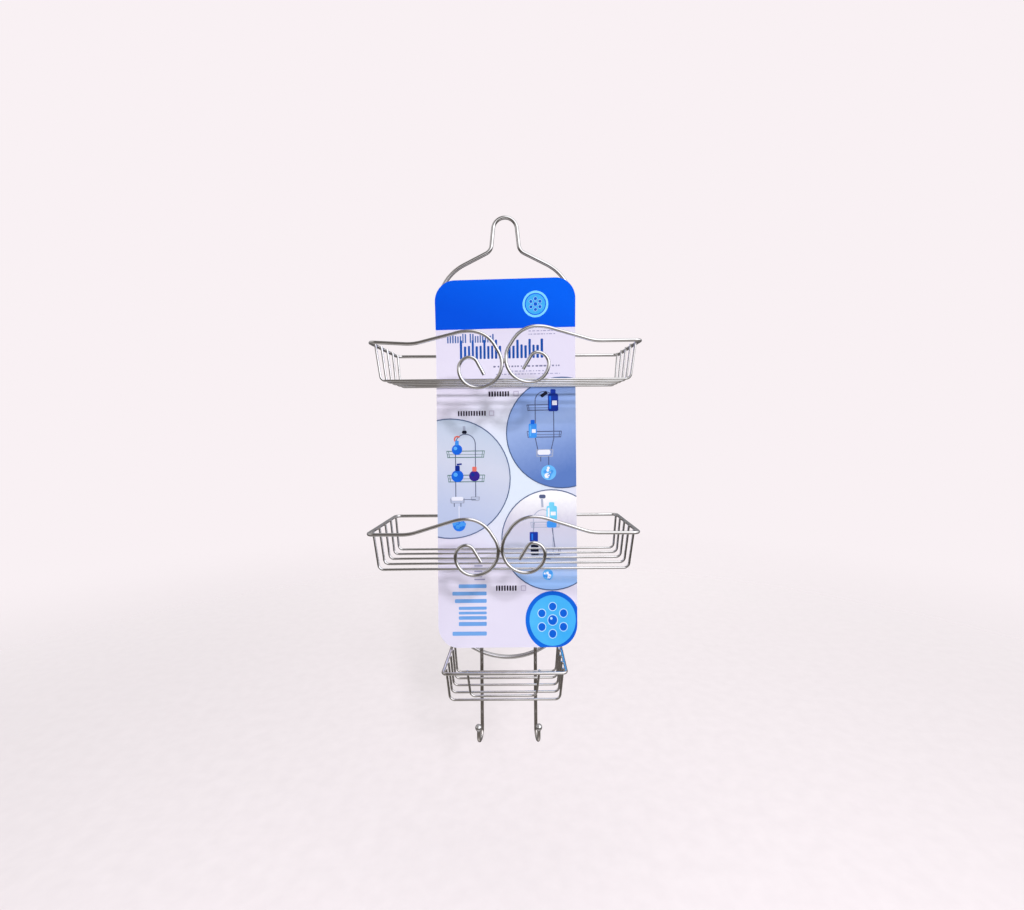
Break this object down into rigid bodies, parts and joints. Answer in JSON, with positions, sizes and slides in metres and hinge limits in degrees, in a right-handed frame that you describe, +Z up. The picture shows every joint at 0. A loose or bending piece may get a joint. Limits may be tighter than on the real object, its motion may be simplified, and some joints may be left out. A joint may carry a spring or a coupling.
{
  "type": "shower caddy",
  "caption": "Hanging chrome wire shower caddy with wide scroll-front baskets, a soap dish, forward hooks and a printed display card.",
  "frame": {"origin": "underside of the frame loop's top bend, at its middle, where the caddy rests on its wall hook", "axes": "+Z up along the frame loop, +Y into the wall, baskets towards -Y, +X to the right seen from the front"},
  "size_m": [0.2818, 0.1192, 0.6346],
  "materials": {
    "chrome_wire": "bright chrome plating",
    "chrome_ball": "bright chrome plating",
    "printed_card": "printed, satin lacquer"
  },
  "bodies": {
    "caddy": {"frame_loop": "chrome_wire", "top_basket_rim": "chrome_wire", "top_basket_floor_wire_1": "chrome_wire", "top_basket_floor_wire_2": "chrome_wire", "top_basket_floor_wire_3": "chrome_wire", "top_basket_floor_wire_4": "chrome_wire", "top_basket_floor_wire_5": "chrome_wire", "lower_basket_rim": "chrome_wire", "lower_basket_floor_wire_1": "chrome_wire", "lower_basket_floor_wire_2": "chrome_wire", "lower_basket_floor_wire_3": "chrome_wire", "lower_basket_floor_wire_4": "chrome_wire", "lower_basket_floor_wire_5": "chrome_wire", "soap_dish_rim": "chrome_wire", "soap_dish_floor_wire_1": "chrome_wire", "soap_dish_floor_wire_2": "chrome_wire", "soap_dish_floor_wire_3": "chrome_wire", "soap_dish_floor_wire_4": "chrome_wire", "soap_dish_floor_wire_5": "chrome_wire", "soap_dish_front_guard": "chrome_wire", "hook_rod_left": "chrome_wire", "hook_rod_right": "chrome_wire", "hook_ball_left": "chrome_ball", "hook_ball_right": "chrome_ball"},
    "card": {"display_card": "printed_card"}
  },
  "joints": [
    {"name": "card_slide", "type": "slide", "parent": "caddy", "child": "card", "axis": [0, 0, 1], "range_m": [0, 0.36]}
  ]
}
